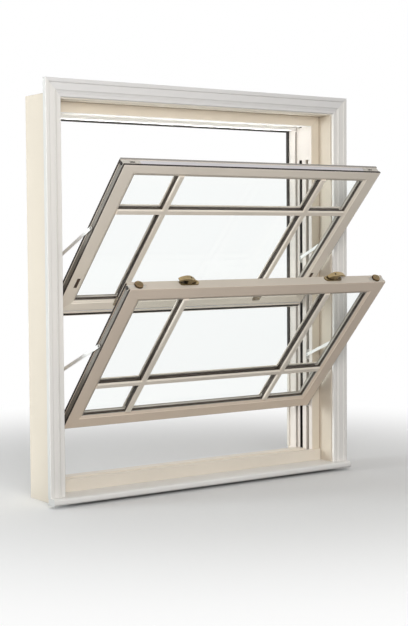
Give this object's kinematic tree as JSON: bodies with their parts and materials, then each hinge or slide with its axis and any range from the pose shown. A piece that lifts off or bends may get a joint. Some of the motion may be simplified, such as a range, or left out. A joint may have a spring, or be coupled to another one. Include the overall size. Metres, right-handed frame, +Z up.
{
  "type": "sash window",
  "caption": "Vertical sliding sash window in its moulded reveal, both sashes tilted into the room on restrictor arms, with glazing bars and double glazing.",
  "frame": {"origin": "middle of the outer frame's underside, half way through its depth", "axes": "+Z up, +X to the right seen from the room, +Y outdoors"},
  "size_m": [1.364, 0.5892, 1.494],
  "materials": {
    "frame_pvc": "satin",
    "pile": "brushed pile",
    "dark_seal": "matt",
    "lining_paint": "painted",
    "white_paint": "painted",
    "balance_plastic": "matt",
    "shoe_plastic": "matt",
    "steel": "plain",
    "arm_metal": "satin",
    "sash_pvc": "satin",
    "bar_pvc": "satin",
    "glass": "clear",
    "spacer": "matt",
    "brown_pile": "brushed pile",
    "latch_plastic": "matt",
    "gold": "antique",
    "latch_dark": "matt"
  },
  "bodies": {
    "frame": {"frame_head": "frame_pvc", "frame_jamb_left": "frame_pvc", "frame_jamb_right": "frame_pvc", "frame_cill": "frame_pvc", "stop_pile_seal": "pile", "outer_weather_seal": "dark_seal", "lining_left": "lining_paint", "lining_right": "lining_paint", "lining_head": "lining_paint", "architrave_left": "white_paint", "architrave_right": "white_paint", "architrave_head": "white_paint", "window_board": "white_paint", "lower_balance_tubes": "balance_plastic", "upper_balance_tubes": "balance_plastic", "balance_head_blocks": "balance_plastic"},
    "lower_carriage": {"lower_balance_shoes": "shoe_plastic", "lower_balance_rods": "steel"},
    "lower_sash": {"lower_stile_left": "sash_pvc", "lower_stile_right": "sash_pvc", "lower_top_rail": "sash_pvc", "lower_bottom_rail": "sash_pvc", "lower_panes": "glass", "lower_spacer": "spacer", "lower_bars_room": "bar_pvc", "lower_bars_outer": "bar_pvc", "lower_edge_seals": "brown_pile", "lower_pivot_pins": "steel", "lower_arm_studs": "steel", "lower_latch_housings": "latch_plastic", "fastener_bases": "gold"},
    "lower_arms": {"lower_arms": "arm_metal"},
    "lower_arm_sliders": {"lower_arm_sliders": "shoe_plastic"},
    "lower_latch_left": {"lower_latch_bolt_left": "gold"},
    "lower_latch_right": {"lower_latch_bolt_right": "gold"},
    "upper_carriage": {"upper_balance_shoes": "shoe_plastic", "upper_balance_rods": "steel"},
    "upper_sash": {"upper_stile_left": "sash_pvc", "upper_stile_right": "sash_pvc", "upper_top_rail": "sash_pvc", "upper_bottom_rail": "sash_pvc", "upper_panes": "glass", "upper_spacer": "spacer", "upper_bars_room": "bar_pvc", "upper_bars_outer": "bar_pvc", "upper_edge_seals": "brown_pile", "upper_pivot_pins": "steel", "upper_arm_studs": "steel", "upper_latch_housings": "latch_plastic", "fastener_keepers": "gold", "limit_stop_trays": "gold"},
    "upper_arms": {"upper_arms": "arm_metal"},
    "upper_arm_sliders": {"upper_arm_sliders": "shoe_plastic"},
    "upper_latch_left": {"upper_latch_bolt_left": "latch_dark"},
    "upper_latch_right": {"upper_latch_bolt_right": "latch_dark"},
    "fastener_left": {"fastener_lever_left": "gold"},
    "limit_stop_left": {"limit_stop_tongue_left": "gold"},
    "fastener_right": {"fastener_lever_right": "gold"},
    "limit_stop_right": {"limit_stop_tongue_right": "gold"}
  },
  "joints": [
    {"name": "lower_slide", "type": "slide", "parent": "frame", "child": "lower_carriage", "axis": [0, 0, 1], "range_m": [-0.196, 0.34]},
    {"name": "upper_slide", "type": "slide", "parent": "frame", "child": "upper_carriage", "axis": [0, 0, 1], "range_m": [-0.34, 0.017]},
    {"name": "lower_tilt", "type": "hinge", "parent": "lower_carriage", "child": "lower_sash", "pos_m": [0, -0.0425, 0.278], "axis": [-1, 0, 0], "range_deg": [0, 42.2]},
    {"name": "upper_tilt", "type": "hinge", "parent": "upper_carriage", "child": "upper_sash", "pos_m": [0, -0.002, 0.7], "axis": [-1, 0, 0], "range_deg": [0, 43.6]},
    {"name": "lower_arm_swing", "type": "hinge", "parent": "lower_sash", "child": "lower_arms", "pos_m": [0, -0.30916, 0.57209], "axis": [-1, 0, 0], "range_deg": [0, 26.11]},
    {"name": "lower_arm_slide", "type": "slide", "parent": "lower_carriage", "child": "lower_arm_sliders", "axis": [0, 0, -1], "range_m": [0, 0.07804]},
    {"name": "lower_latch_left_slide", "type": "slide", "parent": "lower_sash", "child": "lower_latch_left", "axis": [1, 0, 0], "range_m": [-0.005, 0.004], "stiffness_N_per_m": 150},
    {"name": "lower_latch_right_slide", "type": "slide", "parent": "lower_sash", "child": "lower_latch_right", "axis": [-1, 0, 0], "range_m": [-0.005, 0.004], "stiffness_N_per_m": 150},
    {"name": "upper_arm_swing", "type": "hinge", "parent": "upper_sash", "child": "upper_arms", "pos_m": [0, -0.26398, 0.97511], "axis": [-1, 0, 0], "range_deg": [0, 22.31]},
    {"name": "upper_arm_slide", "type": "slide", "parent": "upper_carriage", "child": "upper_arm_sliders", "axis": [0, 0, -1], "range_m": [0, 0.06507]},
    {"name": "upper_latch_left_slide", "type": "slide", "parent": "upper_sash", "child": "upper_latch_left", "axis": [1, 0, 0], "range_m": [-0.005, 0.004], "stiffness_N_per_m": 150},
    {"name": "upper_latch_right_slide", "type": "slide", "parent": "upper_sash", "child": "upper_latch_right", "axis": [-1, 0, 0], "range_m": [-0.005, 0.004], "stiffness_N_per_m": 150},
    {"name": "fastener_left_turn", "type": "hinge", "parent": "lower_sash", "child": "fastener_left", "pos_m": [-0.321, -0.50386, 0.79648], "axis": [0, -0.6717, 0.7408], "range_deg": [0, 180]},
    {"name": "fastener_right_turn", "type": "hinge", "parent": "lower_sash", "child": "fastener_right", "pos_m": [0.321, -0.50386, 0.79648], "axis": [0, -0.6717, 0.7408], "range_deg": [-180, 0]},
    {"name": "limit_stop_left_fold", "type": "hinge", "parent": "upper_sash", "child": "limit_stop_left", "pos_m": [-0.535, -0.09217, 0.77294], "axis": [-1, 0, 0], "range_deg": [-80, 0]},
    {"name": "limit_stop_right_fold", "type": "hinge", "parent": "upper_sash", "child": "limit_stop_right", "pos_m": [0.535, -0.09217, 0.77294], "axis": [-1, 0, 0], "range_deg": [-80, 0]}
  ],
  "couplings": [
    {"joint": "upper_tilt", "follows": "lower_tilt", "ratio": 1.0332},
    {"joint": "lower_arm_swing", "follows": "lower_tilt", "ratio": 0.61848},
    {"joint": "upper_arm_swing", "follows": "lower_tilt", "ratio": 0.52844},
    {"joint": "lower_arm_slide", "follows": "lower_tilt", "m_per_rad": 0.10588},
    {"joint": "upper_arm_slide", "follows": "lower_tilt", "m_per_rad": 0.088283}
  ]
}
